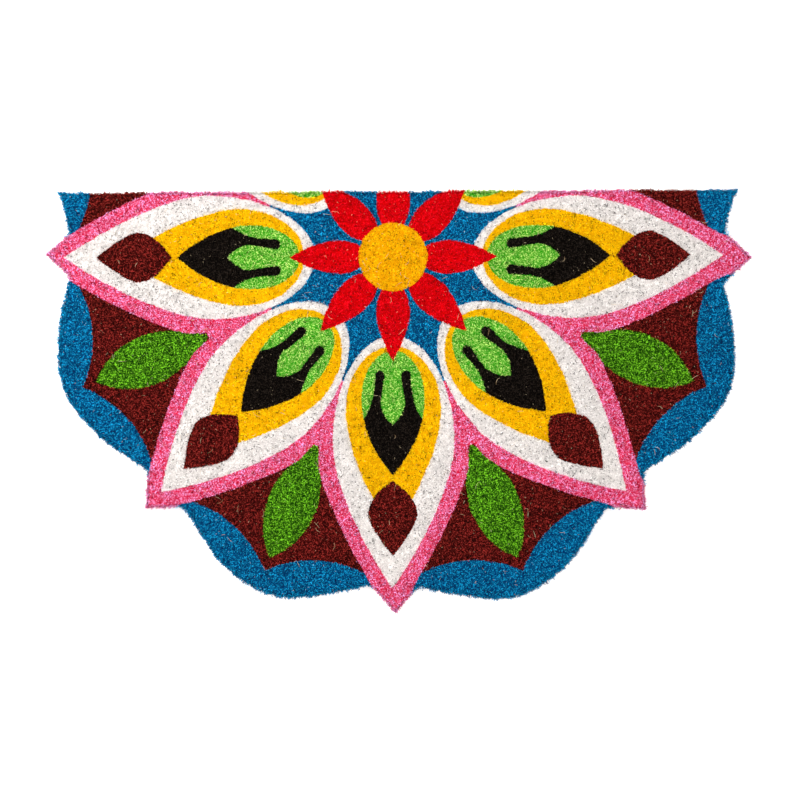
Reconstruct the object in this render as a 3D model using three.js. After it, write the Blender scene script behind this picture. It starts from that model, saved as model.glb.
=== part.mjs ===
// A half-round coir doormat, lying flat with its pile up.
//
// The mat is one piece: a dense bed of upright coir bristles held in a thin backing, cut out along
// the flower that is printed on it. The cut edge is a wave of rounded lobes, broken by five pointed
// petal tips, and a nearly straight edge crosses the flower a little above its middle.
//
// Millimetres. X runs along the straight edge, +Y points at that edge, and +Z is up, out of the
// pile. The origin is on the underside, in the middle of the mat's bounding box. Directions are in
// degrees, counterclockwise from +X, seen from the middle of the printed flower.
import * as THREE from "three";

// Heights through the mat.
const MAT_THICKNESS = 15;
const BACKING_THICKNESS = 2;

// The printed flower has a petal every 45 degrees, and the edge has a lobe between each two petals.
const PETAL_PITCH = 45;

// The ends of the straight edge, from the middle of the flower. It was cut a little out of true.
const LEFT_CORNER = new THREE.Vector2(-362, 70.5);
const RIGHT_CORNER = new THREE.Vector2(371, 74);

// The lobes, each as it came out when it was cut: the direction of its crown, the radius that its
// wave swings about, and how far the crown stands out from that radius.
const LOBES = [
  { crown: -202.5, radius: 369, swing: 21 },
  { crown: -158, radius: 367, swing: 17 },
  { crown: -112, radius: 369, swing: 19 },
  { crown: -68, radius: 370.5, swing: 19 },
  { crown: -22, radius: 371, swing: 18 },
  { crown: 22.5, radius: 376, swing: 23 },
];

// The petal tips that stand out between the lobes: the direction and the reach of each point.
const PETAL_TIPS = [
  { direction: -180.6, reach: 376 },
  { direction: -134.8, reach: 381 },
  { direction: -89.8, reach: 383 },
  { direction: -45, reach: 384 },
  { direction: 0.2, reach: 386.5 },
];

// How fast a petal widens to each side, going back from its point.
const TIP_FLARE = 0.9;

// The knife wanders this far to each side of its line.
const WANDER_REACH = 0.7;
const WANDER_WAVES = 29;

// The outline's points, in degrees: coarse round a lobe, and fine this far to each side of a tip.
const LOBE_STEP = 2.5;
const TIP_STEP = 0.9;
const TIP_SPREAD = 6.3;
const CORNER_CLEARANCE = 1;
const STRAIGHT_STEPS = 12;

// The wall of the mat. The pile leans out over the backing, and its top is worn round: each level
// says how far the wall there lies inside the full outline.
const WALL_LEVELS = [
  { height: 0, inside: 1.2 },
  { height: BACKING_THICKNESS, inside: 1.2 },
  { height: 8, inside: 0 },
  { height: 13, inside: 0.6 },
  { height: MAT_THICKNESS, inside: 2.8 },
];

const radians = THREE.MathUtils.degToRad;
const degrees = THREE.MathUtils.radToDeg;

function polar(radius, direction) {
  return new THREE.Vector2(
    radius * Math.cos(radians(direction)),
    radius * Math.sin(radians(direction)),
  );
}

// The direction of a corner, counted down from the right one so that the left one comes first.
function directionOf(corner) {
  const direction = degrees(corner.angle());
  return direction > PETAL_PITCH ? direction - 360 : direction;
}

function wander(along) {
  return WANDER_REACH * Math.sin(WANDER_WAVES * along);
}

// The lobes' wave: one swing out and in for each petal pitch.
function lobeRadius(direction) {
  const lobe = LOBES.reduce((near, other) =>
    Math.abs(other.crown - direction) < Math.abs(near.crown - direction) ? other : near,
  );
  const turn = (2 * Math.PI * (direction - lobe.crown)) / PETAL_PITCH;
  return lobe.radius + lobe.swing * Math.cos(turn) + wander(radians(direction));
}

// The straight flank of a petal tip, seen from the middle of the flower.
function tipRadius({ direction: tip, reach }, direction) {
  const off = radians(Math.abs(direction - tip));
  return (reach * TIP_FLARE) / (Math.sin(off) + TIP_FLARE * Math.cos(off));
}

// The edge is the outermost of the lobes and of the petal tips near them.
function edgeRadius(direction) {
  const near = PETAL_TIPS.filter((tip) => Math.abs(tip.direction - direction) < TIP_SPREAD);
  return Math.max(lobeRadius(direction), ...near.map((tip) => tipRadius(tip, direction)));
}

// The directions from one corner round to the other where the edge gets a point.
function edgeDirections(from, to) {
  const directions = [];
  const tipSteps = Math.round(TIP_SPREAD / TIP_STEP);
  for (const { direction: tip } of PETAL_TIPS) {
    for (let step = -tipSteps; step <= tipSteps; step += 1) {
      directions.push(tip + step * TIP_STEP);
    }
  }
  const clearOfTips = (direction) =>
    PETAL_TIPS.every((tip) => Math.abs(tip.direction - direction) > TIP_SPREAD + LOBE_STEP / 2);
  for (let direction = from + LOBE_STEP; direction < to; direction += LOBE_STEP) {
    if (clearOfTips(direction)) directions.push(direction);
  }
  const clearOfCorners = (direction) =>
    direction > from + CORNER_CLEARANCE && direction < to - CORNER_CLEARANCE;
  return directions.filter(clearOfCorners).sort((a, b) => a - b);
}

// The mat's full outline, counterclockwise: round the flower, and back along the straight edge.
function matOutline() {
  const from = directionOf(LEFT_CORNER);
  const to = directionOf(RIGHT_CORNER);
  const around = edgeDirections(from, to).map((direction) =>
    polar(edgeRadius(direction), direction),
  );
  const straight = [];
  for (let step = 1; step < STRAIGHT_STEPS; step += 1) {
    const point = RIGHT_CORNER.clone().lerp(LEFT_CORNER, step / STRAIGHT_STEPS);
    point.y += wander(step);
    straight.push(point);
  }
  return [LEFT_CORNER.clone(), ...around, RIGHT_CORNER.clone(), ...straight];
}

// Moves an outline so that the middle of its bounding box lies on the origin.
function centred(outline) {
  const middle = new THREE.Box2().setFromPoints(outline).getCenter(new THREE.Vector2());
  return outline.map((point) => point.clone().sub(middle));
}

// An outline moved inwards by the same distance all round, with its corners kept.
function inset(outline, distance) {
  const count = outline.length;
  const outward = outline.map((point, i) => {
    const along = outline[(i + 1) % count].clone().sub(point).normalize();
    return new THREE.Vector2(along.y, -along.x);
  });
  return outline.map((point, i) => {
    const before = outward[(i + count - 1) % count];
    const after = outward[i];
    const corner = before.clone().add(after).divideScalar(1 + before.dot(after));
    return point.clone().addScaledVector(corner, -distance);
  });
}

// A closed solid: rings of the outline stacked on their levels, with a flat face on each end.
function stackedSolid(outline, levels) {
  const count = outline.length;
  const positions = [];
  for (const { height, inside } of levels) {
    for (const { x, y } of inset(outline, inside)) positions.push(x, y, height);
  }
  const faces = [];
  for (let level = 1; level < levels.length; level += 1) {
    const low = (level - 1) * count;
    const high = level * count;
    for (let i = 0; i < count; i += 1) {
      const next = (i + 1) % count;
      faces.push(low + i, low + next, high + next);
      faces.push(low + i, high + next, high + i);
    }
  }
  const top = (levels.length - 1) * count;
  const bottomRing = inset(outline, levels[0].inside);
  const topRing = inset(outline, levels.at(-1).inside);
  for (const [a, b, c] of THREE.ShapeUtils.triangulateShape(bottomRing, [])) faces.push(a, c, b);
  for (const [a, b, c] of THREE.ShapeUtils.triangulateShape(topRing, [])) {
    faces.push(top + a, top + b, top + c);
  }
  const geometry = new THREE.BufferGeometry();
  geometry.setAttribute("position", new THREE.Float32BufferAttribute(positions, 3));
  geometry.setIndex(faces);
  geometry.computeVertexNormals();
  return geometry;
}

const coir = new THREE.MeshStandardMaterial({ color: 0x0070b0, roughness: 0.95, metalness: 0 });

const mat = new THREE.Mesh(stackedSolid(centred(matOutline()), WALL_LEVELS), coir);
mat.name = "mat";

const doormat = new THREE.Group();
doormat.add(mat);

export default doormat;
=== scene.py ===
"""The looks of a half-round coir doormat: its pile of bristles, and the flower that is printed on it.

Metres, in the frame of the solid that it dresses. The mat lies on its backing with its pile up, its
straight edge towards +Y. Sizes below are in millimetres, and MM turns them into metres.
"""

import math
from collections import namedtuple

import bpy
import numpy as np
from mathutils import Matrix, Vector


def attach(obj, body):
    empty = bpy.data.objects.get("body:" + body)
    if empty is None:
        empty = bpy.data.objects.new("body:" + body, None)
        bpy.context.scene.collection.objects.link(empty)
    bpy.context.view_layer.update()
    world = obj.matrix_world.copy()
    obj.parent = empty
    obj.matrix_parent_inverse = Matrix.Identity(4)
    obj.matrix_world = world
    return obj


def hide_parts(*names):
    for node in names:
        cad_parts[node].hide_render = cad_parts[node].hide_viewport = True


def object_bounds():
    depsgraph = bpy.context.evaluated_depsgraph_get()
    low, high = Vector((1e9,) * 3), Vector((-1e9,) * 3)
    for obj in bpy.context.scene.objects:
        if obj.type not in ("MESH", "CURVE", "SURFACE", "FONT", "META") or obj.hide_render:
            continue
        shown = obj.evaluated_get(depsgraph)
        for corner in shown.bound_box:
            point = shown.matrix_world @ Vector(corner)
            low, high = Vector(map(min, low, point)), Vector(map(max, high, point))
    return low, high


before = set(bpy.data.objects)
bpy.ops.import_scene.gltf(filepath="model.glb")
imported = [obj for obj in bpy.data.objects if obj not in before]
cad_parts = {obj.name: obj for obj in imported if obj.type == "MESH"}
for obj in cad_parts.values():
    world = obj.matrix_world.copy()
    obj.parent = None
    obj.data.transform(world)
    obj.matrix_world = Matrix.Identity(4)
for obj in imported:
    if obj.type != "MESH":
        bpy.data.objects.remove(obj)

cad_low, cad_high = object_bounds()

MM = 0.001
SEED = 7

# Heights through the mat, from its underside. The solid's wall stands out furthest at its crest,
# whose points are found within CREST_WITHIN of that height.
WALL_CREST = 8
CREST_WITHIN = 0.05
BACKING_TOP = 2.2
BED_TOP = 10
PILE_LOWEST = 11
PILE_TOP = 13.6
PILE_HIGHEST = 15

# The bed under the bristles' tips: the lumps in its top, how far its sides are drawn in above
# BED_INSET_FROM, and the size of its faces.
BED_LUMPS = 2.4
BED_LUMP_SIZE = 5
BED_TOP_EDGE = 1.5
BED_INSET = 1.6
BED_INSET_FROM = 3.2
BED_FACE = 3.6

# The bed starts from the solid, with its points joined where they lie within JOIN_WITHIN. Its
# underside is where a face's normal has a Z below FACING_DOWN. There, faces that are level within
# LEVEL_WITHIN degrees are made one.
JOIN_WITHIN = 0.02
FACING_DOWN = -0.99
LEVEL_WITHIN = 1

# The middle of the printed flower, in from the left and front sides of the mat's box.
FLOWER_FROM_LEFT = 374.8
FLOWER_FROM_FRONT = 384.1
FLOWER_X = cad_low.x / MM + FLOWER_FROM_LEFT
FLOWER_Y = cad_low.y / MM + FLOWER_FROM_FRONT

PETAL_PITCH = 45

# The petals, and the leaves halfway between them, don't lie quite true: how far each is off, out
# along its own axis and to the left of it. Towards the flower's middle they are less and less off.
Shift = namedtuple("Shift", "direction along across")
SHIFTS = [
    Shift(-180, -1.2, 0.8),
    Shift(-157.5, -2, 1.9),
    Shift(-135, 0, 2.4),
    Shift(-112.5, 0.6, 1.5),
    Shift(-90, 1.2, -0.4),
    Shift(-67.5, 0.8, -0.2),
    Shift(-45, 0.2, -0.8),
    Shift(-22.5, 0.9, 0.7),
    Shift(0, 0.4, 2.1),
]
SHIFTED_FROM = 40
SHIFTED_WHOLE = 200

# Towards a petal's tip its pink runs over the cut edge, by more and more.
RUN_OVER_FROM = 350
RUN_OVER_WHOLE = 373
RUN_OVER = 5

# The print was stencilled by hand. Its lines wander within a band HAND wide, in waves of about
# HAND_SIZE, and fray within FRAY, in waves of FRAY_SIZE. Each bristle carries them off by up to
# BRISTLE_SHIFT each way.
HAND = 2.4
HAND_SIZE = 14
FRAY = 1.8
FRAY_SIZE = 1.6
BRISTLE_SHIFT = 1

# The flower's motifs, each drawn along its petal's axis from a foot to a tip. Its half width at a
# distance s, as a share of the way from the widest place, is half * (1 - s ** power) ** rounding.
Motif = namedtuple("Motif", "foot widest tip half foot_power foot_rounding tip_power tip_rounding")
PINK_PETAL = Motif(60, 225, 391, 81.5, 2, 0.5, 1.3, 1)
WHITE_PETAL = Motif(85, 200, 356.5, 66.2, 2, 0.5, 1.61, 1)
YELLOW_PETAL = Motif(96, 165, 295, 52, 2, 0.5, 1.7, 1)
EGG = Motif(101, 152, 234.3, 34.3, 2, 0.5, 2.08, 1)
SEED_POD = Motif(118, 153, 180, 13.5, 2, 1, 2.2, 1)
DROP = Motif(240.5, 278, 321.5, 26.6, 2.2, 1, 1.42, 1)
LEAF = Motif(217.5, 284, 350.5, 26.6, 1.72, 1, 2.45, 1)
RED_PETAL = Motif(28.5, 59, 112, 18, 2, 0.5, 1.75, 1)

DISC_RADIUS = 37
STAR_RADIUS = 144

# The pink petals run together between the star in the middle and this radius.
PINKS_JOINED_TO = 219

# The lobes' inner edge is one circle to each side of every petal.
SCALLOP_DIRECTION = 11
SCALLOP_DISTANCE = 461
SCALLOP_RADIUS = 126

# The bud in the egg: two prongs with round ends, on a body that flares out to the egg's sides. Each
# prong narrows by PRONG_TAPER on its way from its end to the body.
PRONG_FROM = (127.3, 14.2)
PRONG_TO = (152, 17)
PRONG_RADIUS = 5.2
PRONG_TAPER = 1
BODY_FROM = 148
FLARE_FROM = 117
FLARE_LENGTH = 57
FLARE_HALF = 19
FLARE_OUT = 13
FLARE_POWER = 3

# Paints, as their colours on the screen, from 0 to 255. A paint is dark on some bristles and light on
# others, because coir takes it up unevenly, and as painted light and shade on higher and lower
# clumps.
Paint = namedtuple("Paint", "dark light")
BLUE = Paint((0, 47, 97), (27, 182, 237))
MAROON = Paint((18, 0, 0), (176, 53, 46))
LEAF_GREEN = Paint((0, 36, 0), (147, 238, 50))
PINK = Paint((219, 0, 48), (255, 190, 249))
WHITE = Paint((228, 222, 219), (254, 250, 246))
YELLOW = Paint((236, 176, 0), (254, 222, 18))
LIGHT_GREEN = Paint((12, 160, 0), (224, 255, 138))
BLACK = Paint((0, 0, 0), (50, 42, 36))
RED = Paint((203, 0, 0), (248, 14, 38))
AMBER = Paint((235, 166, 0), (253, 216, 18))
BARE_COIR = (150, 112, 68)
DARK_COIR = (62, 40, 22)
# Near black: unpainted coir, and partly painted shade of the gaps between tufts.
RAW_BRISTLE_AND_GAP_SHADE = (22, 13, 7)
STRAW = (226, 206, 168)
BACKING_TAN = (172, 150, 118)

# The paint's depth: coir is bare below SOAKED_FROM and painted from SOAKED_WHOLE up, with a line
# that is uneven by SOAK_UNEVEN. Painted shade: the colour darkens from LIT_FROM down, to DEEP_LIGHT
# of it at DEEP_FROM, for the shade deep in the pile.
SOAKED_FROM = 8
SOAKED_WHOLE = 10
SOAK_UNEVEN = 2.4
SOAK_UNEVEN_SIZE = 5
DEEP_FROM = 9
LIT_FROM = 12.4
DEEP_LIGHT = 0.75

# The part of a noise's range over which one look gives way to another. The narrower it is, the
# sharper the change.
SHARP = (0.35, 0.65)
MEDIUM = (0.3, 0.7)
SOFT = (0.2, 0.8)

# The paint is a little thicker here and thinner there, in wide blotches.
BLOTCH_SIZE = 45
BLOTCH_LIGHTS = (0.97, 1.03)

# The fibre itself: where bare coir turns from dark to light, and how rough and how ridged it is.
# Ridges, here and below, are given by their height and by how strongly they shade, from 0 to 1.
BARE_PATCH_SIZE = 2.5
ROUGH_PATCH_SIZE = 1.2
FIBRE_ROUGHNESS = (0.62, 0.9)
FIBRE_RIDGE_SIZE = 0.5
FIBRE_RIDGES = (0.15, 0.5)
FIBRE_GLOSS = 0.03

# The bed's grain runs upright, so along Z it changes this much more slowly. The bed takes only the
# darkest quarter of a paint's range: partly darker pigment, and partly painted shade between the
# tufts.
BED_GRAIN_SIZE = 0.9
BED_GRAIN_UPRIGHT = 0.2
BED_TONES_AND_SHADE = (0.0, 0.25)
BED_GLOSS = 0.02
BED_RIDGES = (0.8, 0.7)

# The backing: a pebbled skin with darker patches.
PEBBLE_SIZE = 1.4
BACKING_PATCH_SIZE = 12
BACKING_PATCH_TINT = 0.4

# The pile. Towards the rim its top is worn down, by up to WORN.
BRISTLE_SPACING = 1.135
PILE_LAYERS = 5
ROOT_HEIGHT = 6.5
BRISTLE_WIDTHS = (0.55, 1.1)
TIP_SHARE = 0.8
LEAN = 0.9
HEIGHT_SPREAD = 0.4
WORN = 0.8
WORN_WITHIN = 6

# Bristles stand in small clumps. A clump leans its own way, and stands higher than the next, or
# lower. A higher clump is paler and a lower one darker, partly by its own tone and partly as painted
# light and shade. Wider tufts of clumps lean together.
CLUMP_SIZE = 1.2
CLUMP_RISE = 0.5
CLUMP_LEAN = 1.5
TUFT_SIZE = 5
TUFT_LEAN = 1.2

# A bristle's tone lies between 0 and 1: in the middle, give or take its clump's and its own. The
# clump's part follows the clump's height, as painted light on high clumps and painted shade on low
# ones.
MIDDLE_TONE = 0.5
CLUMP_TONE_AND_LIGHT = 0.5
OWN_TONE = 0.85

# The grid behind drift's numbers is turned, so that its rows don't lie along the mat.
DRIFT_TURN = 31

# Some bristles are near black, with a tone below all the others: partly coir that took no paint, and
# partly painted shade of the gaps between tufts. A few bristles are pale.
RAW_AND_GAP_SHADE_SHARE = 0.1
RAW_AND_GAP_SHADE_TONE = -1
STRAW_SHARE = 0.007
STRAW_TINT = 0.45

# The pile's ragged edge: its waves' reach and size, and how much further one strand reaches than
# another. Every root stands at least ROOTS_INSIDE within the outline.
RAGGED_WAVE = 2.4
RAGGED_SIZE = 3.2
RAGGED_STRANDS = (-1.2, 2)
ROOTS_INSIDE = 1.4

# The bristles along the cut edge, which show from root to tip. Their roots stand back from the
# outline, their tips reach in or out, and each sways a little.
RIM_BRISTLES = 22000
RIM_ROOT_HEIGHT = 1.6
RIM_ROOTS_BACK = (1.6, 3.2)
RIM_TIPS_OUT = (-1.6, 0.7)
RIM_TOP = 12.2
RIM_SPREAD = 1.2
RIM_HEIGHTS = (8, 14.6)
RIM_SWAY = 1.4
RIM_WIDTHS = (0.5, 0.95)

# Loose hairs that lie on the pile, at least HAIRS_INSIDE from the rim. Each is a tube with three
# corners, in the directions HAIR_CORNERS round it. It bends sideways by up to HAIR_BEND radians, and
# arches up in its middle, as a half wave without its first and last HAIR_ARCH_ENDS radians.
HAIRS = 180
HAIR_LENGTHS = (4, 13)
HAIR_WIDTH = 0.3
HAIR_TAPER = (0.5, 1, 1, 0.9, 0.4)
HAIR_STEPS = len(HAIR_TAPER)
HAIR_CORNERS = (90, 210, 330)
HAIR_BEND = 0.9
HAIR_ARCH = 0.9
HAIR_ARCH_ENDS = 0.2
HAIR_CLEARANCE = 0.3
HAIRS_INSIDE = 12
HAIR_STREAK_SIZE = 6
HAIR_ROUGHNESS = (0.5, 0.8)
HAIR_RIDGE_SIZE = 0.6
HAIR_RIDGES = (0.1, 0.4)

# The floor lies a hair lower than the mat's underside, so that the two don't show through each other.
FLOOR_DROP = 0.3

# The backdrop in the photograph is burnt out to pure white right up to the mat.
FLOOR_GLOW = 0.12
FLOOR_ROUGHNESS = 0.9

# The camera looks straight down, as the photograph does. That is 800 pixels square, and the mat
# reaches these places in it. The camera's height and the floor's size are in metres.
IMAGE_SIZE = 800
PHOTO_LEFT = 45.5
PHOTO_RIGHT = 752.5
PHOTO_BOTTOM = 613
CAMERA_HEIGHT = 3.0
SENSOR = 36
FLOOR_SIZE = 30

# Soft light from all round, and a key light at the photograph's upper left, in metres and watts.
SKY_STRENGTH = 1.62
KEY_PLACE = (-1.5, 1.3, 2.2)
KEY_SIZE = 1.2
KEY_POWER = 92


def linear(colour):
    """A screen colour from 0 to 255, as a linear colour with alpha."""
    shares = [c / 255 for c in colour]
    return (*[s / 12.92 if s <= 0.04045 else ((s + 0.055) / 1.055) ** 2.4 for s in shares], 1)


def deselect_all():
    bpy.ops.object.select_all(action="DESELECT")


def make_active(piece):
    deselect_all()
    piece.select_set(True)
    bpy.context.view_layer.objects.active = piece


# Node helpers

def add_node(tree, kind, **settings):
    node = tree.nodes.new(kind)
    for name, value in settings.items():
        setattr(node, name, value)
    return node


def feed(tree, socket, value):
    """Links a socket, or sets its number, vector or colour."""
    if isinstance(value, bpy.types.NodeSocket):
        tree.links.new(value, socket)
    else:
        socket.default_value = value


def maths(tree, operation, *values, clamp=False):
    node = add_node(tree, "ShaderNodeMath", operation=operation, use_clamp=clamp)
    for socket, value in zip(node.inputs, values):
        feed(tree, socket, value)
    return node.outputs[0]


def distance(tree, u, v):
    squares = maths(tree, "ADD", maths(tree, "MULTIPLY", u, u), maths(tree, "MULTIPLY", v, v))
    return maths(tree, "SQRT", squares)


def vector_maths(tree, operation, *values):
    node = add_node(tree, "ShaderNodeVectorMath", operation=operation)
    for socket, value in zip(node.inputs, values):
        feed(tree, socket, value)
    return node.outputs[0]


def split(tree, vector):
    """A vector's X, Y and Z."""
    node = add_node(tree, "ShaderNodeSeparateXYZ")
    feed(tree, node.inputs[0], vector)
    return node.outputs


def join(tree, x, y):
    """A vector from its X and Y, with no Z."""
    node = add_node(tree, "ShaderNodeCombineXYZ")
    feed(tree, node.inputs["X"], x)
    feed(tree, node.inputs["Y"], y)
    return node.outputs[0]


def polar(tree, place):
    """How far a place lies from the origin, and in which direction."""
    sockets = split(tree, place)
    x, y = sockets["X"], sockets["Y"]
    return distance(tree, x, y), maths(tree, "ARCTAN2", y, x)


def blend_numbers(tree, share, low, high):
    node = add_node(tree, "ShaderNodeMix", data_type="FLOAT")
    feed(tree, node.inputs["Factor"], share)
    feed(tree, node.inputs["A"], low)
    feed(tree, node.inputs["B"], high)
    return node.outputs["Result"]


def blend_colours(tree, share, under, over, blend_type="MIX"):
    """A mix node's own sockets for colours are those numbered 6 and 7, and 2 out of it."""
    node = add_node(tree, "ShaderNodeMix", data_type="RGBA", blend_type=blend_type)
    feed(tree, node.inputs[0], share)
    feed(tree, node.inputs[6], under)
    feed(tree, node.inputs[7], over)
    return node.outputs[2]


def ramp(tree, value, start, end, low=0.0, high=1.0):
    """Goes smoothly from low to high as value goes from start to end."""
    node = add_node(tree, "ShaderNodeMapRange", interpolation_type="SMOOTHSTEP")
    for socket, number in zip(node.inputs, (value, start, end, low, high)):
        feed(tree, socket, number)
    return node.outputs[0]


def noise(tree, place, size, detail=2.0, colour=False):
    """A noise whose patches are about size millimetres across."""
    node = add_node(tree, "ShaderNodeTexNoise")
    feed(tree, node.inputs["Vector"], place)
    node.inputs["Scale"].default_value = 1 / (size * MM)
    node.inputs["Detail"].default_value = detail
    return node.outputs["Color" if colour else "Fac"]


def new_group(name, inputs, outputs):
    """A shader node group, with its tree, its input node and its output node."""
    tree = bpy.data.node_groups.new(name, "ShaderNodeTree")
    for title, kind in inputs:
        tree.interface.new_socket(title, in_out="INPUT", socket_type=kind)
    for title, kind in outputs:
        tree.interface.new_socket(title, in_out="OUTPUT", socket_type=kind)
    return tree, add_node(tree, "NodeGroupInput"), add_node(tree, "NodeGroupOutput")


def use_group(tree, group, **values):
    node = add_node(tree, "ShaderNodeGroup", node_tree=group)
    for name, value in values.items():
        feed(tree, node.inputs[name.replace("_", " ").capitalize()], value)
    return node


# The print

def motif_group():
    """How far a place lies inside a motif, in millimetres, across its axis."""
    names = ["Along", "Across", *[field.replace("_", " ").capitalize() for field in Motif._fields]]
    tree, into, out = new_group(
        "petal motif",
        [(name, "NodeSocketFloat") for name in names],
        [("Depth", "NodeSocketFloat")],
    )
    given = into.outputs
    past = maths(tree, "GREATER_THAN", given["Along"], given["Widest"])
    to_foot = maths(tree, "SUBTRACT", given["Widest"], given["Foot"])
    to_tip = maths(tree, "SUBTRACT", given["Tip"], given["Widest"])
    length = blend_numbers(tree, past, to_foot, to_tip)
    off = maths(tree, "ABSOLUTE", maths(tree, "SUBTRACT", given["Along"], given["Widest"]))
    share = maths(tree, "DIVIDE", off, length, clamp=True)
    power = blend_numbers(tree, past, given["Foot power"], given["Tip power"])
    rounding = blend_numbers(tree, past, given["Foot rounding"], given["Tip rounding"])
    left = maths(tree, "SUBTRACT", 1.0, maths(tree, "POWER", share, power))
    width = maths(tree, "MULTIPLY", given["Half"], maths(tree, "POWER", left, rounding))
    feed(tree, out.inputs["Depth"], maths(tree, "SUBTRACT", width, given["Across"]))
    return tree


def bud_depth(tree, along, across, egg, pod):
    """How far a place lies inside the black bud of a petal."""
    run = PRONG_TO[0] - PRONG_FROM[0]
    rise = PRONG_TO[1] - PRONG_FROM[1]
    from_u = maths(tree, "SUBTRACT", along, PRONG_FROM[0])
    from_v = maths(tree, "SUBTRACT", across, PRONG_FROM[1])
    run_part = maths(tree, "MULTIPLY", from_u, run)
    rise_part = maths(tree, "MULTIPLY", from_v, rise)
    square = run * run + rise * rise
    share = maths(tree, "DIVIDE", maths(tree, "ADD", run_part, rise_part), square, clamp=True)
    off_u = maths(tree, "SUBTRACT", from_u, maths(tree, "MULTIPLY", share, run))
    off_v = maths(tree, "SUBTRACT", from_v, maths(tree, "MULTIPLY", share, rise))
    away = distance(tree, off_u, off_v)
    radius = maths(tree, "MULTIPLY_ADD", share, -PRONG_TAPER, PRONG_RADIUS)
    prong = maths(tree, "SUBTRACT", radius, away)
    flare_share = maths(tree, "DIVIDE", maths(tree, "SUBTRACT", along, FLARE_FROM), FLARE_LENGTH)
    flare = maths(tree, "POWER", maths(tree, "MAXIMUM", flare_share, 0.0), FLARE_POWER)
    half = maths(tree, "MULTIPLY_ADD", flare, FLARE_OUT, FLARE_HALF)
    body = maths(tree, "MINIMUM", maths(tree, "SUBTRACT", half, across),
                 maths(tree, "SUBTRACT", along, BODY_FROM))
    body = maths(tree, "MINIMUM", body, egg)
    body = maths(tree, "MINIMUM", body, maths(tree, "MULTIPLY", pod, -1.0))
    return maths(tree, "MAXIMUM", body, prong)


def shifted(tree, place, radius, direction, shift):
    """The place to draw at, so that the print there comes out shifted, less so away from the axis."""
    axis = math.radians(shift.direction)
    off = maths(tree, "WRAP", maths(tree, "SUBTRACT", direction, axis), math.pi, -math.pi)
    near = ramp(tree, maths(tree, "ABSOLUTE", off), 0.0, math.radians(PETAL_PITCH / 2), 1.0, 0.0)
    share = maths(tree, "MULTIPLY", near, ramp(tree, radius, SHIFTED_FROM, SHIFTED_WHOLE))
    x = shift.along * math.cos(axis) - shift.across * math.sin(axis)
    y = shift.along * math.sin(axis) + shift.across * math.cos(axis)
    moved = join(tree, maths(tree, "MULTIPLY", share, x), maths(tree, "MULTIPLY", share, y))
    return vector_maths(tree, "SUBTRACT", place, moved)


def print_group(motifs):
    """The flower's paint at a place, on a bristle that takes it darker or lighter. The flower is
    folded into one petal, and drawn coat by coat."""
    tree, into, out = new_group(
        "flower print",
        [("Place", "NodeSocketVector"), ("Shade", "NodeSocketFloat")],
        [("Paint", "NodeSocketColor")],
    )
    place = into.outputs["Place"]
    printed_at = place
    for reach, size in ((HAND, HAND_SIZE), (FRAY, FRAY_SIZE)):
        off = vector_maths(tree, "SUBTRACT", noise(tree, printed_at, size, colour=True), (0.5,) * 3)
        moved = vector_maths(tree, "MULTIPLY", off, (reach * MM,) * 3)
        place = vector_maths(tree, "ADD", place, moved)
    middle = (FLOWER_X * MM, FLOWER_Y * MM, 0)
    place = vector_maths(tree, "SUBTRACT", place, middle)
    place = vector_maths(tree, "MULTIPLY", place, (1 / MM, 1 / MM, 0))
    radius, direction = polar(tree, place)
    for shift in SHIFTS:
        place = shifted(tree, place, radius, direction, shift)
    radius, direction = polar(tree, place)
    half_pitch = math.radians(PETAL_PITCH / 2)
    turned = maths(tree, "ABSOLUTE", maths(tree, "WRAP", direction, half_pitch, -half_pitch))
    along = maths(tree, "MULTIPLY", radius, maths(tree, "COSINE", turned))
    across = maths(tree, "MULTIPLY", radius, maths(tree, "SINE", turned))
    between = maths(tree, "SUBTRACT", half_pitch, turned)
    leaf_along = maths(tree, "MULTIPLY", radius, maths(tree, "COSINE", between))
    leaf_across = maths(tree, "MULTIPLY", radius, maths(tree, "SINE", between))

    def depth(motif, u=along, v=across):
        node = use_group(tree, motifs, along=u, across=v, **motif._asdict())
        return node.outputs["Depth"]

    scallop_u = SCALLOP_DISTANCE * math.cos(math.radians(SCALLOP_DIRECTION))
    scallop_v = SCALLOP_DISTANCE * math.sin(math.radians(SCALLOP_DIRECTION))
    off_u = maths(tree, "SUBTRACT", along, scallop_u)
    off_v = maths(tree, "SUBTRACT", across, scallop_v)
    from_scallop = distance(tree, off_u, off_v)
    past_star = maths(tree, "SUBTRACT", radius, STAR_RADIUS)
    ground = maths(tree, "MINIMUM", maths(tree, "SUBTRACT", from_scallop, SCALLOP_RADIUS), past_star)
    run_over = ramp(tree, along, RUN_OVER_FROM, RUN_OVER_WHOLE, 0.0, RUN_OVER)
    pink = maths(tree, "ADD", depth(PINK_PETAL), run_over)
    pink = maths(tree, "MAXIMUM", pink, maths(tree, "SUBTRACT", PINKS_JOINED_TO, radius))
    pink = maths(tree, "MINIMUM", pink, past_star)
    egg = depth(EGG)
    bud = bud_depth(tree, along, across, egg, depth(SEED_POD))
    coats = [
        (MAROON, ground),
        (LEAF_GREEN, depth(LEAF, leaf_along, leaf_across)),
        (PINK, pink),
        (WHITE, depth(WHITE_PETAL)),
        (YELLOW, depth(YELLOW_PETAL)),
        (LIGHT_GREEN, egg),
        (BLACK, bud),
        (MAROON, depth(DROP)),
        (RED, depth(RED_PETAL)),
        (AMBER, maths(tree, "SUBTRACT", DISC_RADIUS, radius)),
    ]
    dark, light = linear(BLUE.dark), linear(BLUE.light)
    for paint, cover in coats:
        covered = maths(tree, "GREATER_THAN", cover, 0.0)
        dark = blend_colours(tree, covered, dark, linear(paint.dark))
        light = blend_colours(tree, covered, light, linear(paint.light))
    paint = blend_colours(tree, into.outputs["Shade"], dark, light)
    feed(tree, out.inputs["Paint"], paint)
    return tree


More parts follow.
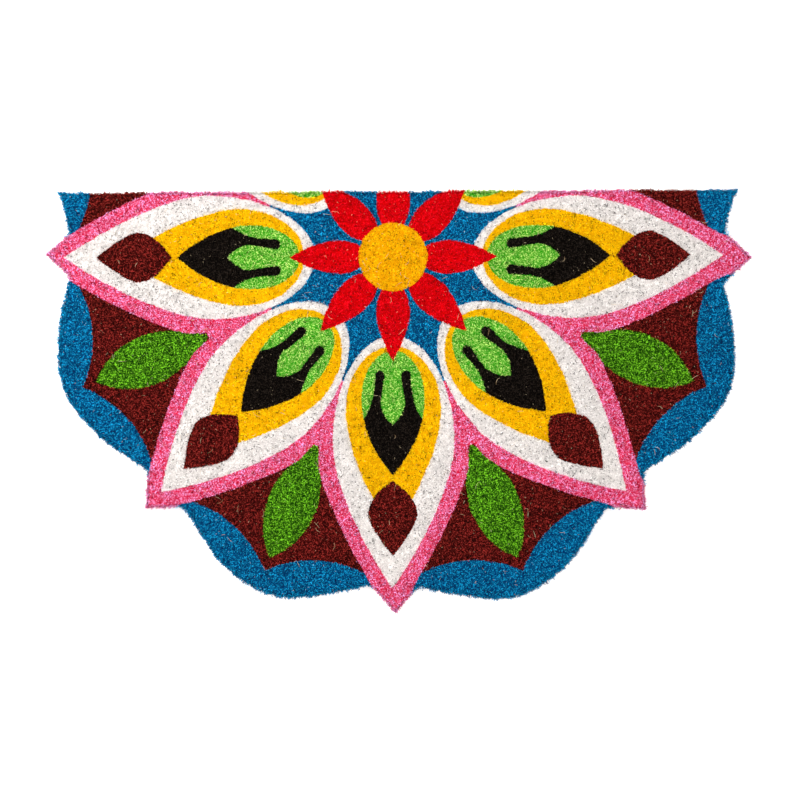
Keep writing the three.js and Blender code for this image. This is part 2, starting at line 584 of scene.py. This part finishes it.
def coir_group():
    """Paint on coir: how deep it soaks in, how each bristle differs, and the coir that shows bare.
    The colour is darkened deep in the pile as painted shade, and the near-black bristles are partly
    painted shade of the gaps between tufts.
    """
    tree, into, out = new_group(
        "painted coir",
        [
            ("Paint", "NodeSocketColor"),
            ("Place", "NodeSocketVector"),
            ("Shade", "NodeSocketFloat"),
            ("Straw", "NodeSocketFloat"),
        ],
        [
            ("Colour", "NodeSocketColor"),
            ("Roughness", "NodeSocketFloat"),
            ("Height", "NodeSocketFloat"),
        ],
    )
    given = into.outputs
    place = given["Place"]
    height = split(tree, place)["Z"]
    uneven = noise(tree, place, SOAK_UNEVEN_SIZE)
    level = maths(tree, "MULTIPLY_ADD", uneven, SOAK_UNEVEN * MM, height)
    blotch = ramp(tree, noise(tree, place, BLOTCH_SIZE, detail=3.0), *MEDIUM, *BLOTCH_LIGHTS)
    # Painted shade: the colour is darker the deeper it lies in the pile.
    painted_depth_shade = ramp(tree, height, DEEP_FROM * MM, LIT_FROM * MM, DEEP_LIGHT, 1.0)
    # The blotches' tone, times the painted shade.
    light = maths(tree, "MULTIPLY", blotch, painted_depth_shade)
    patch = noise(tree, place, BARE_PATCH_SIZE)
    bare = blend_colours(tree, patch, linear(DARK_COIR), linear(BARE_COIR))
    soaked = ramp(tree, level, SOAKED_FROM * MM, SOAKED_WHOLE * MM)
    colour = blend_colours(tree, soaked, bare, given["Paint"])
    # Near-black bristles: unpainted coir, and partly painted shade of the gaps between tufts.
    raw_and_gap_shade = maths(tree, "LESS_THAN", given["Shade"], 0.0)
    colour = blend_colours(tree, raw_and_gap_shade, colour, linear(RAW_BRISTLE_AND_GAP_SHADE))
    pale = maths(tree, "MULTIPLY", given["Straw"], STRAW_TINT)
    colour = blend_colours(tree, pale, colour, linear(STRAW))
    grey = add_node(tree, "ShaderNodeCombineColor")
    for socket in grey.inputs:
        feed(tree, socket, light)
    colour = blend_colours(tree, 1.0, colour, grey.outputs[0], "MULTIPLY")
    feed(tree, out.inputs["Colour"], colour)
    rough = ramp(tree, noise(tree, place, ROUGH_PATCH_SIZE), *SOFT, *FIBRE_ROUGHNESS)
    feed(tree, out.inputs["Roughness"], rough)
    feed(tree, out.inputs["Height"], noise(tree, place, FIBRE_RIDGE_SIZE, detail=1.0))
    return tree


def new_material(name):
    """A material with its tree and its surface shader."""
    material = bpy.data.materials.new(name)
    material.use_nodes = True
    tree = material.node_tree
    surface = tree.nodes["Principled BSDF"]
    return material, tree, surface


def add_bump(tree, surface, height, rise, strength):
    bump = add_node(tree, "ShaderNodeBump")
    bump.inputs["Distance"].default_value = rise * MM
    bump.inputs["Strength"].default_value = strength
    feed(tree, bump.inputs["Height"], height)
    feed(tree, surface.inputs["Normal"], bump.outputs["Normal"])


def bristle_material(flower, coir):
    """Painted bristles. Each takes its tone, and a small shift of the print, from its own numbers."""
    material, tree, surface = new_material("printed coir bristles")
    place = add_node(tree, "ShaderNodeTexCoord").outputs["Object"]
    own = add_node(tree, "ShaderNodeAttribute", attribute_name="strand").outputs["Vector"]
    tone, one, other = split(tree, own)
    sideways = vector_maths(tree, "MULTIPLY", join(tree, one, other), (BRISTLE_SHIFT * MM,) * 3)
    printed_at = vector_maths(tree, "ADD", place, sideways)
    shade = maths(tree, "MAXIMUM", tone, 0.0)
    straw = maths(tree, "GREATER_THAN", one, 1 - 2 * STRAW_SHARE)
    paint = use_group(tree, flower, place=printed_at, shade=shade).outputs["Paint"]
    fibre = use_group(tree, coir, paint=paint, place=place, shade=tone, straw=straw)
    feed(tree, surface.inputs["Base Color"], fibre.outputs["Colour"])
    feed(tree, surface.inputs["Roughness"], fibre.outputs["Roughness"])
    surface.inputs["Specular IOR Level"].default_value = FIBRE_GLOSS
    add_bump(tree, surface, fibre.outputs["Height"], *FIBRE_RIDGES)
    return material


def bed_material(flower, coir):
    """The mat below the bristles' tips: the dark painted top, with painted shade between the tufts,
    the bare sides and the backing.
    """
    material, tree, surface = new_material("coir bed and backing")
    place = add_node(tree, "ShaderNodeTexCoord").outputs["Object"]
    upright = vector_maths(tree, "MULTIPLY", place, (1, 1, BED_GRAIN_UPRIGHT))
    grain = noise(tree, upright, BED_GRAIN_SIZE)
    # The darkest quarter of the paint: partly painted shade between the tufts.
    tone = ramp(tree, grain, *SHARP, *BED_TONES_AND_SHADE)
    paint = use_group(tree, flower, place=place, shade=tone).outputs["Paint"]
    fibre = use_group(tree, coir, paint=paint, place=place, shade=grain, straw=0.0)
    pebble = noise(tree, place, PEBBLE_SIZE, detail=3.0)
    patch = noise(tree, place, BACKING_PATCH_SIZE, detail=4.0)
    patches = ramp(tree, patch, *MEDIUM, 0.0, BACKING_PATCH_TINT)
    dull_tan = blend_colours(tree, patches, linear(BACKING_TAN), linear(BARE_COIR))
    backing = maths(tree, "LESS_THAN", split(tree, place)["Z"], BACKING_TOP * MM)
    colour = blend_colours(tree, backing, fibre.outputs["Colour"], dull_tan)
    feed(tree, surface.inputs["Base Color"], colour)
    feed(tree, surface.inputs["Roughness"], fibre.outputs["Roughness"])
    surface.inputs["Specular IOR Level"].default_value = BED_GLOSS
    add_bump(tree, surface, blend_numbers(tree, backing, grain, pebble), *BED_RIDGES)
    return material


def hair_material():
    """Loose coir hairs, straw coloured and darker in places."""
    material, tree, surface = new_material("loose coir hair")
    place = add_node(tree, "ShaderNodeTexCoord").outputs["Object"]
    streak = noise(tree, place, HAIR_STREAK_SIZE)
    colour = blend_colours(tree, ramp(tree, streak, *MEDIUM), linear(BARE_COIR), linear(STRAW))
    feed(tree, surface.inputs["Base Color"], colour)
    feed(tree, surface.inputs["Roughness"], ramp(tree, streak, *SOFT, *HAIR_ROUGHNESS))
    add_bump(tree, surface, noise(tree, place, HAIR_RIDGE_SIZE, detail=1.0), *HAIR_RIDGES)
    return material


# The mat's outline

def mat_outline():
    """The outermost line of the solid's wall, counterclockwise, in millimetres."""
    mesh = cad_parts["mat"].data
    points = np.empty(len(mesh.vertices) * 3, np.float32)
    mesh.vertices.foreach_get("co", points)
    points = points.reshape(-1, 3).astype(float) / MM
    crest = points[np.abs(points[:, 2] - WALL_CREST) < CREST_WITHIN, :2]
    crest = np.unique(np.round(crest, 2), axis=0)
    turn = np.arctan2(crest[:, 1] - FLOWER_Y, crest[:, 0] - FLOWER_X)
    return crest[np.argsort(turn)]


def edges_of(outline):
    """Each edge's start, its vector, its length and its outward normal."""
    along = np.roll(outline, -1, axis=0) - outline
    length = np.hypot(*along.T)
    outward = np.stack([along[:, 1], -along[:, 0]], 1) / length[:, None]
    return outline, along, length, outward


def depth_in(points, outline):
    """How far each point lies inside the outline, below 0 outside, and the nearest edge's normal."""
    best = np.full(len(points), np.inf)
    normal = np.zeros((len(points), 2))
    crossings = np.zeros(len(points), int)
    for start, along, length, outward in zip(*edges_of(outline)):
        off = points - start
        share = np.clip(off @ along / length**2, 0, 1)
        away = np.hypot(*(off - share[:, None] * along).T)
        nearer = away < best
        best[nearer] = away[nearer]
        normal[nearer] = outward
        if along[1]:
            spans = (off[:, 1] >= 0) != (off[:, 1] >= along[1])
            crossings += spans & (off[:, 0] < off[:, 1] * along[0] / along[1])
    return np.where(crossings % 2 == 1, best, -best), normal


def drift(points, size, rng):
    """Two smooth random numbers at each point, from -1 to 1, that change over about size."""
    turn = math.radians(DRIFT_TURN)
    turned = points @ np.array([[math.cos(turn), -math.sin(turn)], [math.sin(turn), math.cos(turn)]])
    at = (turned - turned.min(0)) / size
    whole = at.astype(int)
    part = at - whole
    part = part * part * (3 - 2 * part)
    lattice = rng.uniform(-1, 1, (*(whole.max(0) + 2), 2))
    i, j = whole.T
    u, v = part[:, :1], part[:, 1:]
    low = lattice[i, j] * (1 - u) + lattice[i + 1, j] * u
    high = lattice[i, j + 1] * (1 - u) + lattice[i + 1, j + 1] * u
    return low * (1 - v) + high * v


def clumps(points, size, rng):
    """The clump that each point belongs to: the nearest of many middles, strewn about size apart.
    Gives each point's clump number, and how many clumps there are."""
    at = (points - points.min(0)) / size + 1
    rows = at.astype(int).max(0) + 2
    middles = np.stack(np.meshgrid(*[np.arange(n) for n in rows], indexing="ij"), -1)
    middles = middles + rng.uniform(0, 1, middles.shape)
    cell = at.astype(int)
    nearest = np.full(len(points), np.inf)
    number = np.zeros(len(points), int)
    for i in (-1, 0, 1):
        for j in (-1, 0, 1):
            other = cell + (i, j)
            away = np.hypot(*(middles[other[:, 0], other[:, 1]] - at).T)
            nearer = away < nearest
            nearest[nearer] = away[nearer]
            number[nearer] = (other[:, 0] * rows[1] + other[:, 1])[nearer]
    return number, int(rows.prod())


# The bristles

def unit(vectors):
    return vectors / np.linalg.norm(vectors, axis=1, keepdims=True)


def mesh_from_triangles(name, points, triangles, material):
    mesh = bpy.data.meshes.new(name)
    mesh.vertices.add(len(points))
    mesh.vertices.foreach_set("co", (points * MM).astype(np.float32).ravel())
    mesh.loops.add(3 * len(triangles))
    mesh.loops.foreach_set("vertex_index", triangles.astype(np.int32).ravel())
    mesh.polygons.add(len(triangles))
    mesh.polygons.foreach_set("loop_start", np.arange(0, 3 * len(triangles), 3, dtype=np.int32))
    mesh.update(calc_edges=True)
    mesh.materials.append(material)
    piece = bpy.data.objects.new(name, mesh)
    bpy.context.scene.collection.objects.link(piece)
    return piece


def bristles(name, roots, tips, widths, tones, material, rng):
    """Bristles from roots to tips, as one mesh. A bristle is a closed sliver of four faces: a short
    edge across its root and another across its tip, a quarter turn round, as split coir is."""
    count = len(roots)
    along = unit(tips - roots)
    sideways = unit(np.cross(along, rng.normal(size=(count, 3)))) * widths[:, None] / 2
    turned = np.cross(along, sideways) * TIP_SHARE
    corners = np.stack([roots + sideways, roots - sideways, tips - turned, tips + turned], 1)
    faces = np.array([(0, 2, 1), (0, 1, 3), (0, 3, 2), (1, 2, 3)])
    triangles = (4 * np.arange(count))[:, None, None] + faces
    piece = mesh_from_triangles(name, corners.reshape(-1, 3), triangles.reshape(-1, 3), material)
    own = np.repeat(np.column_stack([tones, rng.uniform(-1, 1, (count, 2))]), 4, axis=0)
    strand = piece.data.attributes.new("strand", "FLOAT_VECTOR", "POINT")
    strand.data.foreach_set("vector", own.astype(np.float32).ravel())
    add_cell_map(piece, count)
    return piece


# A bristle's four faces unfolded into one strip, as shares of its cell, corner by corner. The strip
# keeps CELL_MARGIN clear on each side of the cell.
CELL_MARGIN = 0.1
UNFOLDED = np.array([
    [(0.0, 0), (0.2, 1), (0.4, 0)],
    [(0.8, 0), (0.4, 0), (0.6, 1)],
    [(0.8, 0), (0.6, 1), (1.0, 1)],
    [(0.4, 0), (0.2, 1), (0.6, 1)],
])


def add_cell_map(piece, count):
    """A UV map with a small cell for each bristle, in rows."""
    cells = math.ceil(math.sqrt(count))
    cell = np.arange(count)
    corner = np.stack([cell % cells, cell // cells], 1)[:, None, None, :]
    places = (corner + CELL_MARGIN + (1 - 2 * CELL_MARGIN) * UNFOLDED[None]) / cells
    layer = piece.data.uv_layers.new(name="OFBake")
    layer.uv.foreach_set("vector", places.astype(np.float32).ravel())


def ragged_edge(points, rng):
    """How far the pile reaches past the outline at each point, in small waves and from strand to
    strand."""
    wave = RAGGED_WAVE * drift(points, RAGGED_SIZE, rng)[:, 0]
    return wave + rng.uniform(*RAGGED_STRANDS, len(points))


def pile_tips(outline, rng):
    """A tip in every cell of a grid, off its middle at random, wherever it falls on the mat."""
    low, high = outline.min(0) - BRISTLE_SPACING, outline.max(0) + BRISTLE_SPACING
    xs = np.arange(low[0], high[0], BRISTLE_SPACING)
    ys = np.arange(low[1], high[1], BRISTLE_SPACING)
    grid = np.stack(np.meshgrid(xs, ys), -1).reshape(-1, 2)
    grid += rng.uniform(0, BRISTLE_SPACING, grid.shape)
    inside = depth_in(grid, outline)[0]
    kept = inside > -ragged_edge(grid, rng)
    return grid[kept], inside[kept]


def make_pile(outline, material):
    """The bristles all over the mat, in layers that each cover it thinly. They are laid out by their
    tips, which is what shows, and each runs back down to its root."""
    rng = np.random.default_rng(SEED)
    tips, inside = pile_tips(outline, rng)
    count = len(tips)
    number, clump_count = clumps(tips, CLUMP_SIZE, rng)
    rank = rng.uniform(-1, 1, clump_count)[number]
    lean = CLUMP_LEAN * rng.normal(size=(clump_count, 2))[number]
    lean += LEAN * rng.normal(size=(count, 2)) + TUFT_LEAN * drift(tips, TUFT_SIZE, rng)
    roots = tips - lean
    root_inside, normal = depth_in(roots, outline)
    roots -= normal * np.clip(ROOTS_INSIDE - root_inside, 0, None)[:, None]
    near_rim = np.clip(1 - inside / WORN_WITHIN, 0, 1)
    top = PILE_TOP + CLUMP_RISE * rank + HEIGHT_SPREAD * rng.normal(size=count) - WORN * near_rim**2
    # Higher clumps are paler and lower ones darker: partly painted light and shade.
    tones = MIDDLE_TONE + CLUMP_TONE_AND_LIGHT * rank + OWN_TONE * rng.uniform(-1, 1, count)
    tones = np.clip(tones, 0, 1)
    # Near-black bristles, partly painted shade of the gaps between tufts.
    tones = np.where(rng.random(count) < RAW_AND_GAP_SHADE_SHARE, RAW_AND_GAP_SHADE_TONE, tones)
    tips = np.column_stack([tips, np.clip(top, PILE_LOWEST, PILE_HIGHEST)])
    roots = np.column_stack([roots, np.full(count, ROOT_HEIGHT)])
    widths = rng.uniform(*BRISTLE_WIDTHS, count)
    layer = rng.integers(PILE_LAYERS, size=count)
    pile = []
    for i in range(PILE_LAYERS):
        own = layer == i
        pile.append(
            bristles(f"pile_{i + 1}", roots[own], tips[own], widths[own], tones[own], material, rng)
        )
    return pile


def make_rim(outline, material):
    """The cut edge: bristles that stand on the backing and show from root to tip."""
    rng = np.random.default_rng(SEED + 1)
    start, along, length, outward = edges_of(outline)
    edge = rng.choice(len(length), RIM_BRISTLES, p=length / length.sum())
    on_edge = start[edge] + along[edge] * rng.random((RIM_BRISTLES, 1))
    back = rng.uniform(*RIM_ROOTS_BACK, (RIM_BRISTLES, 1))
    roots = np.column_stack([on_edge - outward[edge] * back, np.full(RIM_BRISTLES, RIM_ROOT_HEIGHT)])
    top = np.clip(RIM_TOP + RIM_SPREAD * rng.normal(size=RIM_BRISTLES), *RIM_HEIGHTS)
    out = rng.uniform(*RIM_TIPS_OUT, (RIM_BRISTLES, 1))
    sway = RIM_SWAY * rng.normal(size=(RIM_BRISTLES, 2))
    tips = np.column_stack([on_edge + outward[edge] * out + sway, top])
    past, normal = depth_in(tips[:, :2], outline)
    over = np.clip(-past - ragged_edge(tips[:, :2], rng), 0, None)
    tips[:, :2] -= normal * over[:, None]
    widths = rng.uniform(*RIM_WIDTHS, RIM_BRISTLES)
    tones = rng.random(RIM_BRISTLES)
    return bristles("rim_bristles", roots, tips, widths, tones, material, rng)


def make_hairs(outline, material):
    """Loose hairs that have come out of the pile and lie on it, each a thin bent tube."""
    rng = np.random.default_rng(SEED + 2)
    low, high = outline.min(0), outline.max(0)
    points, triangles = [], []
    ring = np.radians(HAIR_CORNERS)
    taper = HAIR_WIDTH * np.array(HAIR_TAPER) / 2
    arch = HAIR_ARCH * np.sin(np.linspace(HAIR_ARCH_ENDS, math.pi - HAIR_ARCH_ENDS, HAIR_STEPS))
    arch += PILE_TOP + HAIR_CLEARANCE
    while len(points) < HAIRS:
        middle = rng.uniform(low, high)
        if depth_in(middle[None], outline)[0][0] < HAIRS_INSIDE:
            continue
        length = rng.uniform(*HAIR_LENGTHS)
        bend = rng.uniform(-HAIR_BEND, HAIR_BEND) * np.linspace(-1, 1, HAIR_STEPS)
        heading = rng.uniform(0, 2 * math.pi) + bend
        steps = np.column_stack([np.cos(heading), np.sin(heading)]) * length / HAIR_STEPS
        line = middle + np.cumsum(steps, axis=0)
        across = np.column_stack([-np.sin(heading), np.cos(heading), np.zeros(HAIR_STEPS)])
        spine = np.column_stack([line, arch])
        hair = [
            spine[k] + taper[k] * (math.cos(a) * across[k] + math.sin(a) * np.array([0, 0, 1]))
            for k in range(HAIR_STEPS)
            for a in ring
        ]
        first = 3 * HAIR_STEPS * len(points)
        for k in range(HAIR_STEPS - 1):
            for a in range(3):
                b = (a + 1) % 3
                low_a, low_b = first + 3 * k + a, first + 3 * k + b
                triangles.append((low_a, low_b, low_b + 3))
                triangles.append((low_a, low_b + 3, low_a + 3))
        end = first + 3 * (HAIR_STEPS - 1)
        triangles.append((first, first + 2, first + 1))
        triangles.append((end, end + 1, end + 2))
        points.append(hair)
    points = np.array(points).reshape(-1, 3)
    return mesh_from_triangles("loose_hairs", points, np.array(triangles), material)


# The bed

def make_bed(material):
    """The mat below the tips: its sides drawn in behind the rim's bristles, its top cut down and made
    lumpy, and its underside flat."""
    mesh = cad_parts["mat"].data.copy()
    bed = bpy.data.objects.new("bed", mesh)
    bpy.context.scene.collection.objects.link(bed)
    mesh.materials.clear()
    mesh.materials.append(material)
    make_active(bed)
    bpy.ops.object.mode_set(mode="EDIT")
    bpy.ops.mesh.select_all(action="SELECT")
    bpy.ops.mesh.remove_doubles(threshold=JOIN_WITHIN * MM)
    bpy.ops.mesh.select_all(action="DESELECT")
    bpy.ops.object.mode_set(mode="OBJECT")
    for vertex in mesh.vertices:
        vertex.select = vertex.co.z > BED_INSET_FROM * MM
    bpy.ops.object.mode_set(mode="EDIT")
    bpy.ops.transform.shrink_fatten(value=-BED_INSET * MM, use_even_offset=True)
    bpy.ops.mesh.select_all(action="SELECT")
    bpy.ops.mesh.bisect(
        plane_co=(0, 0, BED_TOP * MM), plane_no=(0, 0, 1), use_fill=True, clear_outer=True
    )
    bpy.ops.object.mode_set(mode="OBJECT")
    mesh.remesh_voxel_size = BED_FACE * MM
    bpy.ops.object.voxel_remesh()
    lumpy = bed.vertex_groups.new(name="top")
    for vertex in bed.data.vertices:
        if vertex.co.z > (BED_TOP - BED_TOP_EDGE) * MM:
            lumpy.add([vertex.index], 1.0, "REPLACE")
    lumps = bpy.data.textures.new("coir lumps", "CLOUDS")
    lumps.noise_scale = BED_LUMP_SIZE * MM
    displace = bed.modifiers.new("lumps", "DISPLACE")
    displace.texture = lumps
    displace.vertex_group = "top"
    displace.direction = "Z"
    displace.strength = BED_LUMPS * MM
    bpy.ops.object.modifier_apply(modifier="lumps")
    bpy.ops.object.mode_set(mode="EDIT")
    bpy.ops.mesh.select_all(action="DESELECT")
    bpy.ops.object.mode_set(mode="OBJECT")
    for face in bed.data.polygons:
        face.select = face.normal.z < FACING_DOWN
        if face.select:
            for i in face.vertices:
                bed.data.vertices[i].co.z = 0
    bpy.ops.object.mode_set(mode="EDIT")
    bpy.ops.mesh.dissolve_limited(angle_limit=math.radians(LEVEL_WITHIN))
    bpy.ops.object.mode_set(mode="OBJECT")
    return bed


# The studio

def make_floor():
    deselect_all()
    bpy.ops.mesh.primitive_plane_add(size=FLOOR_SIZE, location=(0, 0, -FLOOR_DROP * MM))
    floor = bpy.context.object
    floor.name = "studio_floor"
    material, tree, surface = new_material("pale studio floor")
    surface.inputs["Base Color"].default_value = (1, 1, 1, 1)
    surface.inputs["Roughness"].default_value = FLOOR_ROUGHNESS
    surface.inputs["Emission Color"].default_value = (1, 1, 1, 1)
    surface.inputs["Emission Strength"].default_value = FLOOR_GLOW
    floor.data.materials.append(material)


def add_area_light(name, place, aim, size, power):
    lamp = bpy.data.lights.new(name, "AREA")
    lamp.shape = "DISK"
    lamp.size = size
    lamp.energy = power
    light = bpy.data.objects.new(name, lamp)
    bpy.context.scene.collection.objects.link(light)
    light.location = place
    direction = Vector(aim) - Vector(place)
    light.rotation_euler = direction.to_track_quat("-Z", "Y").to_euler()


def make_light():
    world = bpy.data.worlds.new("studio")
    world.use_nodes = True
    sky = world.node_tree.nodes["Background"]
    sky.inputs["Color"].default_value = (1, 1, 1, 1)
    sky.inputs["Strength"].default_value = SKY_STRENGTH
    bpy.context.scene.world = world
    add_area_light("key", KEY_PLACE, (0, 0, 0), KEY_SIZE, KEY_POWER)


def make_camera():
    """Looks straight down, so that the mat lies in the picture where the photograph has it."""
    scale = (cad_high.x - cad_low.x) / (PHOTO_RIGHT - PHOTO_LEFT)
    view_width = IMAGE_SIZE * scale
    middle_x = (PHOTO_LEFT + PHOTO_RIGHT) / 2 - IMAGE_SIZE / 2
    middle_y = IMAGE_SIZE / 2 - (PHOTO_BOTTOM - (cad_high.y - cad_low.y) / scale / 2)
    lens = bpy.data.cameras.new("camera")
    lens.sensor_width = SENSOR
    lens.lens = SENSOR * (CAMERA_HEIGHT - PILE_TOP * MM) / view_width
    camera = bpy.data.objects.new("camera", lens)
    bpy.context.scene.collection.objects.link(camera)
    camera.location = (-middle_x * scale, -middle_y * scale, CAMERA_HEIGHT)
    bpy.context.scene.camera = camera


make_camera()
make_light()
make_floor()
outline = mat_outline()
flower = print_group(motif_group())
coir = coir_group()
printed = bristle_material(flower, coir)
bed = make_bed(bed_material(flower, coir))
pile = make_pile(outline, printed)
rim = make_rim(outline, printed)
hairs = make_hairs(outline, hair_material())
on_bed = [*pile, rim, hairs]
for piece in [bed, *on_bed]:
    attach(piece, "root")
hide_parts("mat")
bpy.context.scene.view_settings.view_transform = "Standard"
